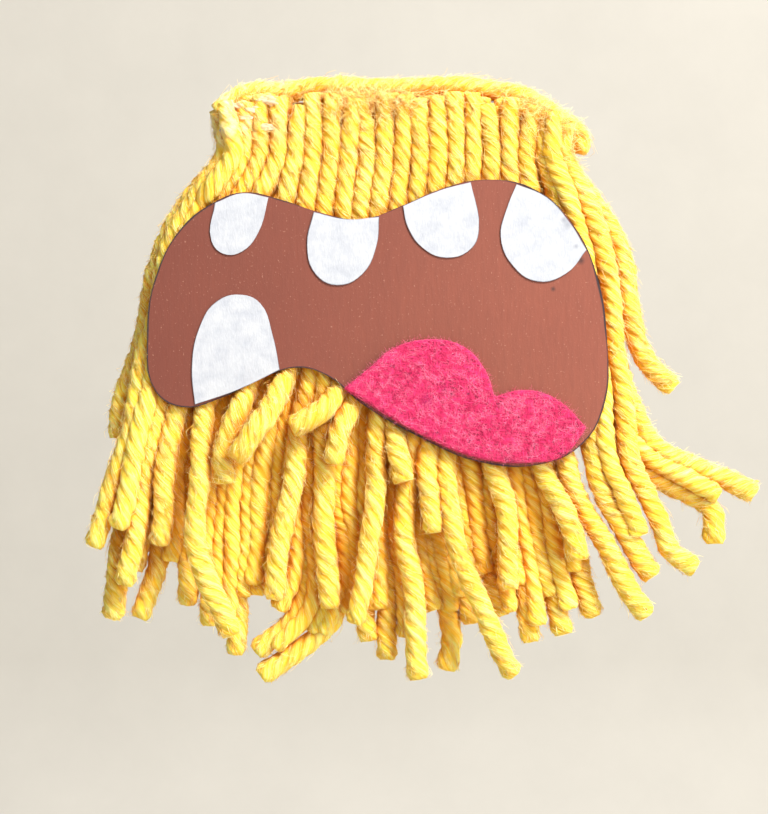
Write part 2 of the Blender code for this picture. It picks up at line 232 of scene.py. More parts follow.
# %% Drawn line group
line_tree, line_in, line_out = group_io(
    "drawn_line",
    [("Vector", "NodeSocketVector"), ("Border", "NodeSocketFloat"), ("Scale", "NodeSocketFloat"),
     ("Middle", "NodeSocketFloat"), ("Wander", "NodeSocketFloat"), ("Start", "NodeSocketFloat"),
     ("Full", "NodeSocketFloat"), ("Darkness", "NodeSocketFloat")],
    [("Mask", "NodeSocketFloat")])
wander = node(line_tree, "ShaderNodeTexNoise", Vector=line_in.outputs["Vector"],
              Scale=line_in.outputs["Scale"], Detail=2.0)
swing = calc(line_tree, "SUBTRACT", wander, line_in.outputs["Middle"])
swing = calc(line_tree, "MULTIPLY", swing, line_in.outputs["Wander"])
reach = calc(line_tree, "ADD", line_in.outputs["Border"], swing)
drawn = node(line_tree, "ShaderNodeMapRange", i0=reach, i1=line_in.outputs["Start"],
             i2=line_in.outputs["Full"], i3=0.0, i4=line_in.outputs["Darkness"])
on_border = calc(line_tree, "GREATER_THAN", line_in.outputs["Border"], 0.03)
line_tree.links.new(calc(line_tree, "MULTIPLY", drawn, on_border), line_out.inputs["Mask"])


def drawn_line(tree, coords, **values):
    """Place the drawn line group on the border that the edge_line attribute marks; returns its mask."""
    made = tree.nodes.new("ShaderNodeGroup")
    made.node_tree = line_tree
    border = node(tree, "ShaderNodeAttribute", output=2, settings={"attribute_name": "edge_line"})
    tree.links.new(border, made.inputs["Border"])
    tree.links.new(coords.outputs["Object"], made.inputs["Vector"])
    for socket, value in values.items():
        made.inputs[socket].default_value = value
    return made.outputs["Mask"]


# %% [markdown]
# ## Yarn finish
#
# Worsted acrylic yarn is four plies twisted together, "\" across a hanging strand. Its
# colour is painted pale where a ply stands up, a painted highlight, and orange in the
# grooves, painted shade for the light that bounces between yellow fibres there. The sweep
# below gives every strand a UV map: U runs along it and V runs round it, so V finds the
# plies and the grooves with a cosine. Fibres lie along the plies, so the shared fibre group
# is stretched along U, once coarse and once fine.
#
# Deep between the strands the light has bounced off yarn many times, and each bounce takes
# more green and blue out of it. An Ambient Occlusion node measures how shut in a point is,
# and the colour is painted towards amber there, as painted shade.
#
# A strand isn't one even colour along its length, so slow noise on Object coordinates
# shifts it. The glued tops at the left are paler and shinier, where hot glue has soaked
# into the yarn: a mask on the height and the side finds them.

# %% Yarn material
PLIES = 4
YARN_GROOVE_SHADE = (0.98, 0.52, 0.030)
YARN_BODY = (0.99, 0.66, 0.055)
YARN_CREST_HIGHLIGHT = (1.0, 0.92, 0.31)
YARN_DEEP = (0.98, 0.48, 0.025)
YARN_GLUED = (1.0, 0.90, 0.66)
YARN_PAINTED_SHADE = (0.80, 0.27, 0.004)
PAINTED_SHADE_REACH = 8.0 * MM

yarn, tree, shader = new_material("yarn")
coords = tree.nodes.new("ShaderNodeTexCoord")
uv = node(tree, "ShaderNodeSeparateXYZ", i0=coords.outputs["UV"])
around = uv.node.outputs[1]
crest = calc(tree, "ABSOLUTE", calc(tree, "COSINE", calc(tree, "MULTIPLY", around, math.pi * PLIES)))
threads = fibre_mask(tree, coords.outputs["UV"], (16.0, 26.0, 1.0), 4.2)
fine = fibre_mask(tree, coords.outputs["UV"], (46.0, 72.0, 1.0), 3.2)
lit = calc(tree, "ADD", calc(tree, "MULTIPLY", crest, 0.26), calc(tree, "MULTIPLY", threads, 0.37))
lit = calc(tree, "ADD", lit, calc(tree, "MULTIPLY", fine, 0.37))
# Painted highlight and painted shade: pale on the ply crests, orange in the grooves.
colour = ramp(tree, lit, (0.16, YARN_GROOVE_SHADE), (0.46, YARN_BODY), (0.80, YARN_CREST_HIGHLIGHT))
slow = node(tree, "ShaderNodeTexNoise", Vector=coords.outputs["Object"], Scale=120.0, Detail=2.0)
patchy = node(tree, "ShaderNodeMapRange", i0=slow, i1=0.42, i2=0.68, i3=0.0, i4=0.55)
colour = mix(tree, patchy, colour, YARN_DEEP)
place = node(tree, "ShaderNodeSeparateXYZ", i0=coords.outputs["Object"])
side = node(tree, "ShaderNodeMapRange", i0=place, i1=-0.017, i2=-0.030, i3=0.0, i4=1.0)
height = node(tree, "ShaderNodeMapRange", i0=place.node.outputs[2], i1=0.0310, i2=0.0355, i3=0.0, i4=1.0)
soaked = node(tree, "ShaderNodeTexNoise", Vector=coords.outputs["Object"], Scale=330.0, Detail=3.0)
soaked = node(tree, "ShaderNodeMapRange", i0=soaked, i1=0.46, i2=0.60, i3=0.0, i4=1.0)
glued = calc(tree, "MULTIPLY", calc(tree, "MULTIPLY", side, height), soaked)
colour = mix(tree, calc(tree, "MULTIPLY", glued, 0.55), colour, YARN_GLUED)
# Painted shade: amber where the Ambient Occlusion node finds the point shut in.
open_to_light = node(tree, "ShaderNodeAmbientOcclusion", output=1, settings={"samples": 6},
                     Distance=PAINTED_SHADE_REACH)
deep = node(tree, "ShaderNodeMapRange", i0=open_to_light, i1=0.78, i2=0.26, i3=0.0, i4=0.95)
colour = mix(tree, deep, colour, YARN_PAINTED_SHADE)
tree.links.new(colour, shader.inputs["Base Color"])
rough = calc(tree, "SUBTRACT", 0.88, calc(tree, "MULTIPLY", glued, 0.5))
tree.links.new(rough, shader.inputs["Roughness"])
relief = calc(tree, "ADD", threads, calc(tree, "MULTIPLY", fine, 0.6))
tree.links.new(bump(tree, relief, 0.45, 0.0005), shader.inputs["Normal"])
shader.inputs["Sheen Weight"].default_value = 0.32
shader.inputs["Sheen Roughness"].default_value = 0.5
shader.inputs["Sheen Tint"].default_value = (1.0, 0.80, 0.30, 1)
shader.inputs["Specular IOR Level"].default_value = 0.2
shader.inputs["Subsurface Weight"].default_value = 0.45
shader.inputs["Subsurface Radius"].default_value = (1.0, 0.55, 0.12)
shader.inputs["Subsurface Scale"].default_value = 0.0014
print("yarn:", len(tree.nodes), "nodes")

# %% [markdown]
# The stray fibres are single filaments. Their colour is mostly painted paler than the strand,
# a painted glow for the light that goes through them, and it varies from one to the next.
# Where they are shut in, it turns amber, as painted shade.

# %% Filament material
filament, tree, shader = new_material("yarn_filament")
coords = tree.nodes.new("ShaderNodeTexCoord")
patch = node(tree, "ShaderNodeTexNoise", Vector=coords.outputs["Object"], Scale=700.0, Detail=1.0)
# Painted glow: most filaments are paler than the strand.
colour = ramp(tree, patch, (0.36, (0.98, 0.58, 0.04)), (0.60, (1.0, 0.92, 0.36)))
# Painted shade: amber where the Ambient Occlusion node finds a fibre shut in.
open_to_light = node(tree, "ShaderNodeAmbientOcclusion", output=1, settings={"samples": 4},
                     Distance=PAINTED_SHADE_REACH)
deep = node(tree, "ShaderNodeMapRange", i0=open_to_light, i1=0.45, i2=0.10, i3=0.0, i4=0.9)
tree.links.new(mix(tree, deep, colour, YARN_PAINTED_SHADE), shader.inputs["Base Color"])
shader.inputs["Roughness"].default_value = 0.6
shader.inputs["Sheen Weight"].default_value = 0.3
print("filament:", len(tree.nodes), "nodes")

# %% [markdown]
# ## Sweeping a strand of plied yarn
#
# A strand could be built from four separate helixes. One swept tube whose section has four
# round lobes looks the same, has a quarter of the faces, and stays one closed piece: each
# point of the path is tilted a little more than the one before, so the lobes wind round it.
#
# The path is a Catmull-Rom line through the route's points, which passes through each point
# and is smooth between them. Real yarn is soft, so the lobes are shallow, noise moves the
# surface a little, the twist is tighter in some strands than in others, and the strand
# wavers about its route below the glue. It narrows in the last half millimetre, so that its
# cut end is blunt and round.

# %% Path
YARN_RADIUS = 2.05
LAY_LENGTH = 11.0
RING_STEP = 0.8
LOBE_OFFSET = 0.32
SECTION_POINTS = PLIES * 8


def smooth_line(route, step):
    """Points along a Catmull-Rom line through the route, about one step apart (millimetres)."""
    knots = [Vector(p) for p in route]
    ends = [2 * knots[0] - knots[1]] + knots + [2 * knots[-1] - knots[-2]]
    line = []
    for a, b, c, d in zip(ends, ends[1:], ends[2:], ends[3:]):
        count = max(1, round((c - b).length / step))
        for i in range(count):
            t = i / count
            line.append(0.5 * (2 * b + (c - a) * t + (2 * a - 5 * b + 4 * c - d) * t ** 2
                               + (3 * b - a - 3 * c + d) * t ** 3))
    return line + [knots[-1]]


def path_lengths(line):
    """How far along the line each of its points is."""
    run = [0.0]
    for a, b in zip(line, line[1:]):
        run.append(run[-1] + (b - a).length)
    return run


# %% Section
def section_curve(name, reaches):
    """A closed section whose points are evenly spread round it, at the given reaches."""
    curve = bpy.data.curves.new(name, "CURVE")
    curve.dimensions = "2D"
    spline = curve.splines.new("POLY")
    spline.points.add(len(reaches) - 1)
    spline.use_cyclic_u = True
    for i, (point, reach) in enumerate(zip(spline.points, reaches)):
        angle = 2 * math.pi * i / len(reaches)
        point.co = (reach * math.cos(angle), reach * math.sin(angle), 0, 1)
    made = bpy.data.objects.new(name, curve)
    bpy.context.scene.collection.objects.link(made)
    return made


def lobe_reach(i):
    """How far a four-ply section of radius 1 reaches at its point i: four round lobes."""
    ply = 2 * math.pi / PLIES
    off = (2 * math.pi * i / SECTION_POINTS + ply / 2) % ply - ply / 2
    across = LOBE_OFFSET * math.sin(off)
    return LOBE_OFFSET * math.cos(off) + math.sqrt((1 - LOBE_OFFSET) ** 2 - across ** 2)


ply_section = section_curve("ply_section", [lobe_reach(i) for i in range(SECTION_POINTS)])
print("ply section: crest 1.0, groove", round(lobe_reach(SECTION_POINTS // PLIES // 2), 2))

# %% Sweep
def curve_to_mesh(name, curve):
    """Turn a curve into a mesh and remove the curve."""
    obj = bpy.data.objects.new(name, curve)
    bpy.context.scene.collection.objects.link(obj)
    bpy.context.view_layer.update()
    mesh = bpy.data.meshes.new_from_object(obj.evaluated_get(bpy.context.evaluated_depsgraph_get()))
    bpy.data.objects.remove(obj)
    bpy.data.curves.remove(curve)
    return mesh


def weld(mesh):
    """Close the loose caps of a swept mesh and turn its faces outwards."""
    bm = bmesh.new()
    bm.from_mesh(mesh)
    bmesh.ops.remove_doubles(bm, verts=bm.verts, dist=0.001 * MM)
    bmesh.ops.recalc_face_normals(bm, faces=bm.faces)
    bm.to_mesh(mesh)
    bm.free()
    return mesh


def swept_yarn(name, line, radii, tilts):
    """Sweep the ply section along a line; returns the welded mesh and its rings of points."""
    curve = bpy.data.curves.new(name, "CURVE")
    curve.dimensions = "3D"
    curve.use_fill_caps = True
    curve.bevel_mode = "OBJECT"
    curve.bevel_object = ply_section
    spline = curve.splines.new("POLY")
    spline.points.add(len(line) - 1)
    for knot, point, radius, tilt in zip(spline.points, line, radii, tilts):
        knot.co = (*point, 1)
        knot.radius = radius
        knot.tilt = tilt
    mesh = curve_to_mesh(name, curve)
    for vert in mesh.vertices:
        place = vert.co / MM
        vert.co += (noise.noise_vector(place * 0.40) * 0.30 + noise.noise_vector(place * 1.6) * 0.12) * MM
    points = [vert.co.copy() for vert in mesh.vertices][-len(line) * SECTION_POINTS:]
    rings = [points[i:i + SECTION_POINTS] for i in range(0, len(points), SECTION_POINTS)]
    return weld(mesh), rings


# %% [markdown]
# ## Loose fibres
#
# The fuzz is what makes yarn read as yarn. Most fibres are short and lie almost along their
# ply, so they break up its smooth surface. A few are long: they lift off and curl over the
# next few millimetres. All the fibres of a strand are one curve object with a hair-thin
# three-sided section, turned into a mesh and joined to the strand, so they bend with it.
# Each has only two or three stretches, because there are thousands. Their points are taken
# from the rings of the swept surface, so they follow its twist. The cut end gets a denser
# tuft that points out of it. No fibre may poke through the mouth card, so a ray towards the
# card tells whether a point is behind it.

# %% Fibres
card_mesh = nodes["mouth_card"].data
card_tree = BVHTree.FromPolygons([v.co for v in card_mesh.vertices],
                                 [tuple(f.vertices) for f in card_mesh.polygons])
CARD_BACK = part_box("mouth_card")[1].y


def under_card(point):
    """Whether the mouth card is straight in front of or behind a point."""
    return card_tree.ray_cast(Vector((point.x, 0, point.z)), Vector((0, -1, 0)))[0] is not None


FIBRE_SIZE = 0.052 * MM
rng = random.Random(7)
noise.seed_set(7)
fibre_section = section_curve("fibre_section", [1.0, 1.0, 1.0])


def fibre_curve(name):
    """An empty curve whose splines get the fibre section."""
    curve = bpy.data.curves.new(name, "CURVE")
    curve.dimensions = "3D"
    curve.bevel_mode = "OBJECT"
    curve.bevel_object = fibre_section
    curve.use_fill_caps = True
    return curve


def add_fibre(curve, points, size=1.0):
    """One fibre through the points, thinner at its tip."""
    spline = curve.splines.new("POLY")
    spline.points.add(len(points) - 1)
    for i, (knot, point) in enumerate(zip(spline.points, points)):
        knot.co = (*point, 1)
        knot.radius = FIBRE_SIZE * size * (1.0 if i < len(points) - 1 else 0.4)


# %% Fuzz along a strand
def lay_fibre(curve, line, rings, reach, stretches, drift, lift, size):
    """One fibre from a random point of the strand, drifting across the plies and lifting off."""
    last = len(line) - 1
    start = rng.randrange(0, last - 2)
    spoke = rng.randrange(SECTION_POINTS)
    points = []
    for k in range(stretches + 1):
        i = min(last, start + round(k * reach / (RING_STEP * stretches)))
        j = (spoke + round(drift * k / stretches)) % SECTION_POINTS
        out = (rings[i][j] - line[i]).normalized()
        rise = -0.10 if k == 0 else lift * rng.uniform(0.6, 1.4) * k / stretches
        points.append(rings[i][j] + out * rise * MM)
        if points[-1].y < CARD_BACK + 0.1 * MM and under_card(points[-1]):
            points[-1].y = CARD_BACK + 0.1 * MM
    add_fibre(curve, points, size)


def fuzz(name, line, rings, short, long, tuft):
    """Short and long loose fibres along a strand and a tuft at its cut end, as one mesh."""
    curve = fibre_curve(name)
    for _ in range(short):
        lay_fibre(curve, line, rings, rng.uniform(1.2, 3.0), 2, rng.uniform(-4, 4),
                  min(0.8, rng.expovariate(1 / 0.22)), 0.95)
    for _ in range(long):
        lay_fibre(curve, line, rings, rng.uniform(1.6, 6.0), 3, rng.uniform(-15, 15),
                  min(1.4, 0.2 + rng.expovariate(1 / 0.5)), 0.7)
    along = (line[-1] - line[-3]).normalized()
    for _ in range(tuft):
        spoke = rng.choice(rings[-4])
        base = line[-4] + (spoke - line[-4]) * math.sqrt(rng.uniform(0.02, 0.95))
        lean = (base - line[-4]) / (YARN_RADIUS * MM) * rng.uniform(-0.1, 0.45)
        reach = rng.uniform(1.0, 1.9) * MM
        middle = base + (along + lean * 0.4) * reach * 0.5
        add_fibre(curve, [base, middle, base + (along + lean) * reach], 1.4)
    return weld(curve_to_mesh(name, curve))


def joined(name, meshes, materials):
    """One object from several meshes, each with its own material."""
    bm = bmesh.new()
    for index, mesh in enumerate(meshes):
        before = len(bm.faces)
        bm.from_mesh(mesh)
        bm.faces.ensure_lookup_table()
        for face in bm.faces[before:]:
            face.material_index = index
            face.smooth = True
        bpy.data.meshes.remove(mesh)
    mesh = bpy.data.meshes.new(name)
    bm.to_mesh(mesh)
    bm.free()
    for material in materials:
        mesh.materials.append(material)
    obj = bpy.data.objects.new(name, mesh)
    bpy.context.scene.collection.objects.link(obj)
    return obj


# %% [markdown]
# ## A whole strand
#
# A strand is its swept tube and its fuzz, made one object. Before the sweep its line gets a
# slight waver, and where the mouth card is in front of it the line is pushed back, so that
# the yarn lies under the card as it does when it is pressed. Each strand is pinched a little
# at its cut top and in the glue.

# %% A strand's line
def waver(line, run, reach):
    """Move a line gently from side to side, from nothing at its start to reach at its end."""
    phases = [rng.uniform(0, 2 * math.pi) for _ in range(3)]
    for point, gone in zip(line, run):
        grown = reach * MM * min(1.0, gone / (45 * MM))
        point.x += grown * math.sin(gone / (3.6 * MM) + phases[0])
        point.y += grown * 0.5 * math.sin(gone / (4.3 * MM) + phases[1])
        point.z += grown * 0.3 * math.sin(gone / (5.0 * MM) + phases[2])


CLEARANCE = 2.3 * MM


def keep_behind_card(line):
    """Push the points of a line back where the mouth card is in front of them, and smooth the change."""
    covered = []
    for point in line:
        around = [(0, 0), (1.8, 0), (-1.8, 0), (0, 1.8), (0, -1.8)]
        covered.append(any(under_card(point + Vector((dx, 0, dz)) * MM) for dx, dz in around))
    for _ in range(4):
        for point, under in zip(line, covered):
            if under:
                point.y = max(point.y, CARD_BACK + CLEARANCE)
        depths = [point.y for point in line]
        for i in range(1, len(line) - 1):
            line[i].y = (depths[i - 1] + depths[i] + depths[i + 1]) / 3


# %% Make a strand
def yarn_strand(name, route, full=1.0, short=760, long=330, tuft=150, tight_until=None, wander=0.30, lay=None,
                behind_card=False):
    """A strand of plied yarn along a route in millimetres; returns the object and its path.

    Above the height tight_until it is squeezed between its neighbours in the glue.
    """
    line = [p * MM for p in smooth_line(route, RING_STEP)]
    waver(line, path_lengths(line), wander)
    if behind_card:
        keep_behind_card(line)
    run = path_lengths(line)
    phase, wobble, ease = (rng.uniform(0, 2 * math.pi) for _ in range(3))
    lay = (lay or LAY_LENGTH) * rng.uniform(0.88, 1.16) * MM
    pinch = rng.uniform(0.0, 0.24)
    radii = []
    for point, gone in zip(line, run):
        left = (run[-1] - gone) / MM
        size = YARN_RADIUS * full * (1 + 0.04 * math.sin(gone / (6 * MM) + wobble))
        if tight_until is not None:
            loose = min(1.0, max(0.0, (tight_until - point.z / MM) / 12))
            size *= 0.94 + 0.06 * loose
            size *= 1 - pinch * max(0.0, 1 - gone / (5 * MM))
        size *= 1 + 0.08 * max(0.0, 1 - left / 3.0)
        radii.append(size * MM * (0.72 if left < 0.1 else 0.95 if left < 0.9 else 1.0))
    tilts = [phase - 2 * math.pi * gone / lay + 0.5 * math.sin(gone / (13 * MM) + ease) for gone in run]
    tube, rings = swept_yarn(name, line, radii, tilts)
    loose_ends = fuzz(name + "_fuzz", line, rings, short, long, tuft)
    obj = joined(name, [tube, loose_ends], [yarn, filament])
    return obj, line


# %% [markdown]
# ## The forty free strands
#
# Their routes are the same as in the imported model, in the same millimetres, so each strand
# lies where its solid does. Each one is a single length of yarn from its cut top, glued to
# the stick, down to its tip, so its solid below the glue and its share of the glued band
# are one piece here.

# %% Strand routes
STRANDS = {
    "left_strand": [
        [(-33.0, -6.2, 30.6), (-43.8, -6.2, 16), (-48.8, -6.0, -3), (-52.0, -6.0, -14), (-54.1, -6.5, -23.6)],
        [(-33.0, -9.6, 30.6), (-42.5, -9.6, 15), (-47.5, -9.6, -5), (-52.0, -10.0, -25), (-58.4, -11, -44.1)],
        [(-29.6, -6.2, 30.6), (-40.0, -6.2, 14), (-45.2, -6.0, -6), (-50.3, -5.5, -30), (-53.8, -6.0, -46),
         (-55.2, -7.0, -58.5)],
        [(-29.6, -9.6, 30.6), (-38.6, -9.6, 14), (-43.8, -9.6, -6), (-48.3, -10.0, -30), (-51.9, -11, -51.5)],
        [(-26.2, -6.2, 30.6), (-36.2, -6.2, 13), (-41.4, -6.0, -7), (-45.2, -5.5, -30), (-46.3, -5.5, -46),
         (-49.5, -6.5, -58.5)],
    ],
    "front_strand": [
        [(-26.2, -9.6, 30.6), (-34.6, -9.6, 13), (-40.0, -9.6, -7), (-43.6, -10.5, -25),
         (-45.6, -11.5, -43.7)],
        [(-22.8, -9.6, 30.6), (-30.5, -9.6, 12), (-36.0, -9.6, -12), (-37.3, -12.5, -27), (-38.4, -14.0, -39),
         (-36.4, -14.5, -49), (-31.6, -14.0, -60.7)],
        [(-19.4, -9.6, 30.6), (-24.5, -9.6, 10), (-27.2, -9.9, -10.5), (-30.8, -13.2, -19), (-33.2, -14, -26),
         (-32.3, -14.0, -32.0)],
        [(-16.0, -9.6, 30.6), (-19.3, -9.6, 8), (-20.4, -9.8, -8.0), (-22.8, -13.5, -15.5),
         (-27, -16.8, -21.3), (-30.3, -17.3, -27.0)],
        [(-12.6, -9.6, 30.6), (-15.2, -9.6, 8), (-16.4, -9.6, -8), (-17.8, -9.6, -16), (-19.2, -10.0, -26),
         (-21.6, -11.0, -40), (-23.8, -11.5, -54.1)],
        [(-9.2, -9.6, 30.6), (-11.5, -9.6, 8), (-13.3, -9.6, -8), (-14.2, -9.4, -20), (-14.0, -10.0, -36),
         (-13.1, -11.0, -55.9)],
        [(-5.8, -9.6, 30.6), (-8.0, -9.6, 8), (-9.8, -9.7, -8), (-11.6, -11.6, -14.4), (-14.8, -14.2, -18.4),
         (-19.9, -14.6, -21.2)],
        [(-2.4, -9.6, 30.6), (-4.6, -9.6, 8), (-6.3, -9.6, -10), (-9.0, -11.4, -18), (-11.3, -13.4, -23.4),
         (-12.0, -13.8, -28.0)],
        [(1.0, -9.6, 30.6), (-0.8, -9.6, 8), (-2.6, -9.6, -10), (-4.0, -10.6, -26), (-4.6, -12.0, -39),
         (-6.3, -12.8, -50), (-8.5, -13.0, -58.5)],
        [(4.4, -9.6, 30.6), (2.6, -9.6, 8), (0.8, -9.6, -10), (-0.5, -10.0, -21), (0.6, -12.6, -26.5),
         (1.2, -13.2, -31.5)],
        [(7.8, -9.6, 30.6), (6.3, -9.6, 8), (4.8, -9.6, -10), (3.4, -9.6, -22), (1.7, -9.3, -31),
         (1.5, -10.0, -41), (2.9, -11.0, -52), (4.3, -11.5, -69.4)],
        [(11.2, -9.6, 30.6), (9.8, -9.6, 8), (8.5, -9.6, -10), (6.9, -9.6, -22), (5.9, -11.3, -31),
         (6.9, -12.8, -41.3)],
        [(14.6, -9.6, 30.6), (13.5, -9.6, 8), (12.3, -9.6, -10), (10.4, -9.6, -23), (9.2, -11.0, -31),
         (10.8, -13.0, -41), (13.7, -14.0, -50), (17.3, -14.5, -58.5), (22.4, -14.5, -68.2)],
        [(18.0, -9.6, 30.6), (17.4, -9.6, 8), (17.0, -9.6, -10), (18.5, -10.0, -28), (20.8, -11.5, -38),
         (21.6, -12.0, -52.2)],
        [(21.4, -9.6, 30.6), (22.0, -9.6, 8), (23.4, -9.6, -10), (27.6, -10.0, -28), (32.2, -12.0, -38),
         (34.6, -13.0, -46.5)],
        [(24.8, -9.6, 30.6), (26.5, -9.6, 8), (28.6, -9.6, -10), (32.6, -9.6, -29), (38.8, -10.5, -42),
         (43.6, -11.0, -51), (48.0, -11.5, -57.4)],
    ],
    "right_strand": [
        [(28.2, -9.6, 30.6), (32.5, -9.6, 14), (35.5, -9.6, -8), (38.5, -9.6, -30), (44.8, -10.0, -43.5),
         (49.3, -10.5, -50.0)],
        [(31.6, -9.6, 30.6), (38.6, -9.6, 16), (42.0, -9.6, -6), (44.6, -9.6, -26), (49.2, -10.0, -37),
         (51.8, -10.0, -44), (57.6, -10.5, -48.3)],
        [(24.8, -6.2, 30.6), (32.5, -6.2, 14), (38.0, -6.0, -8), (42.5, -5.8, -24), (48.5, -5.6, -30.6),
         (55.5, -5.6, -34), (60.8, -6.0, -36.5), (61.2, -6.5, -43.9)],
        [(28.2, -6.2, 30.6), (37.0, -6.2, 15), (42.0, -6.2, -6), (45.6, -6.2, -19), (50.5, -6.0, -25.5),
         (59.0, -6.0, -29.6), (69.3, -6.5, -34.4)],
        [(31.6, -6.2, 30.6), (41.5, -6.2, 16), (45.0, -6.2, 2), (46.6, -6.2, -6), (50.0, -6.0, -11),
         (53.7, -6.5, -14.0)],
    ],
    "rear_strand": [
        [(-22.8, -6.2, 30.6), (-31.8, -6.2, 12), (-37.0, -6.2, -8), (-40.0, -5.8, -30), (-40.8, -6.5, -55.9)],
        [(-19.4, -6.2, 30.6), (-27.5, -6.2, 11), (-32.0, -6.2, -8), (-35.2, -6.0, -32), (-36.4, -6.8, -59.8)],
        [(-16.0, -6.2, 30.6), (-23.0, -6.2, 10), (-27.0, -6.2, -8), (-30.0, -6.0, -32), (-31.2, -7.0, -65.5)],
        [(-12.6, -6.2, 30.6), (-18.5, -6.2, 10), (-22.0, -6.2, -8), (-25.0, -6.0, -32), (-27.4, -7.0, -54.0)],
        [(-9.2, -6.2, 30.6), (-14.0, -6.2, 8), (-17.2, -6.2, -10), (-19.0, -6.0, -34), (-17.5, -6.0, -50),
         (-20.6, -6.5, -59), (-27.2, -7.0, -65.1)],
        [(-5.8, -6.2, 30.6), (-9.5, -6.2, 8), (-12.0, -6.2, -10), (-13.5, -6.0, -34), (-10.8, -6.0, -52),
         (-13.5, -6.0, -60), (-20.0, -6.3, -65.5), (-26.4, -7.0, -69.6)],
        [(-2.4, -6.2, 30.6), (-5.2, -6.2, 8), (-7.2, -6.2, -12), (-7.8, -6.0, -36), (-5.6, -6.8, -62.9)],
        [(1.0, -6.2, 30.6), (-1.0, -6.2, 8), (-2.4, -6.2, -12), (-2.6, -6.0, -36), (-1.6, -7.0, -66.3)],
        [(4.4, -6.2, 30.6), (3.2, -6.2, 8), (2.6, -6.2, -12), (4.6, -6.0, -36), (10.2, -6.5, -60),
         (9.8, -7.0, -68.6)],
        [(7.8, -6.2, 30.6), (7.6, -6.2, 8), (8.0, -6.2, -12), (10.5, -6.0, -36), (14.8, -6.8, -59.5)],
        [(11.2, -6.2, 30.6), (12.0, -6.2, 8), (13.2, -6.2, -12), (16.5, -6.0, -36), (20.2, -7.0, -58.0)],
        [(14.6, -6.2, 30.6), (16.5, -6.2, 8), (18.4, -6.2, -12), (22.0, -6.0, -36), (26.3, -7.0, -63.0)],
        [(18.0, -6.2, 30.6), (21.0, -6.2, 8), (23.6, -6.2, -12), (27.5, -6.0, -36), (32.0, -7.0, -61.5)],
        [(21.4, -6.2, 30.6), (25.8, -6.2, 8), (29.0, -6.2, -12), (33.0, -6.0, -36), (37.8, -7.0, -58.2)],
    ],
}

# %% [markdown]
# The strands in the glue follow the stick's outline: its corners are lower than its middle,
# so the strands at both ends start lower. They were laid on by hand and trimmed roughly, so
# each top leans its own way and stops at its own height. In two places the tops are shorter,
# and the bare wood shows. The rear layer lies against the wood and the front layer on it.

# %% Strand tops
PIECE_OF = {"left_strand": "yarn_left", "front_strand": "yarn_front",
            "right_strand": "yarn_right", "rear_strand": "yarn_rear"}
BAND_OUTLINE = [(-34.8, 38.6), (-31.0, 41.0), (-27.0, 42.2), (20.0, 42.5), (24.0, 41.4), (28.0, 39.4),
                (33.2, 36.0)]
BARE_SPOTS = (-19.6, 17.9)
GLUE_LINE = 31.9


def band_height(x):
    """The height of the glued band's top edge at x."""
    for (x0, z0), (x1, z1) in zip(BAND_OUTLINE, BAND_OUTLINE[1:]):
        if x <= x1:
            return z0 + (z1 - z0) * max(0.0, x - x0) / (x1 - x0)
    return BAND_OUTLINE[-1][1]


def glued_part(x, y, lean_limit=1.5):
    """The points of a strand's stretch in the glue, from its cut top down to the glue line."""
    top = band_height(x) - rng.uniform(-0.3, 1.2)
    if min(abs(x - spot) for spot in BARE_SPOTS) < 1.5:
        top -= 1.7
    lean = rng.uniform(-lean_limit, lean_limit)
    lean += 0.6 if x > 24 else -0.4 if x < -24 else 0.0
    return [(x + lean, y + 0.55, top), (x + lean * 0.35, y + 0.1, (top + GLUE_LINE) / 2)]


def even_knots(route):
    """The same route with its points about 6 mm apart, so that a line through them never overshoots."""
    line = smooth_line(route, 1.0)
    count = max(2, round(len(line) / 6))
    return [line[round(k * (len(line) - 1) / count)] for k in range(count + 1)]


def hang(strand):
    """Bake a strand's transform into its mesh."""
    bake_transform(strand)


# %% Hang the forty strands
strands = []
total = 0.0
for group, routes in STRANDS.items():
    for number, route in enumerate(routes, 1):
        name = f"{PIECE_OF[group]}_{number:02d}"
        x, y, z = route[0]
        strand, line = yarn_strand(name, glued_part(x, y) + even_knots(route), full=rng.uniform(0.95, 1.05),
                                   tight_until=28.0, behind_card=group != "rear_strand")
        hang(strand)
        solid = f"{group}_{number:02d}"
        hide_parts(*([solid, "strand_tops"] if solid == "front_strand_09" else [solid]))
        length = path_lengths(line)[-1]
        strands.append(strand)
        total += length
print(len(strands), "strands,", round(total, 2), "m of yarn")

# %% [markdown]
# ## The inner strands
#
# A real curtain is denser than two rows: more strands are hidden between them, and they are
# what stops the light. Two inner strands hang between each pair of neighbours in the rear
# row, a little in front of them and a little shorter, and a few more fill the side locks. An
# inner route is a mix of its neighbours' routes. These strands can barely be seen, so they
# have less fuzz.

# %% Inner strands
INNER_COUNT = 12


def between(route_a, route_b, share, forward, kept):
    """A route between two others, moved forward and cut to the kept part of their length."""
    lines = [smooth_line(route, 1.0) for route in (route_a, route_b)]
    middle = []
    for k in range(INNER_COUNT):
        part = kept * k / (INNER_COUNT - 1)
        a, b = (line[round(part * (len(line) - 1))] for line in lines)
        point = a.lerp(b, share)
        middle.append((point.x, point.y - forward * (1 - 0.3 * part), point.z))
    return middle


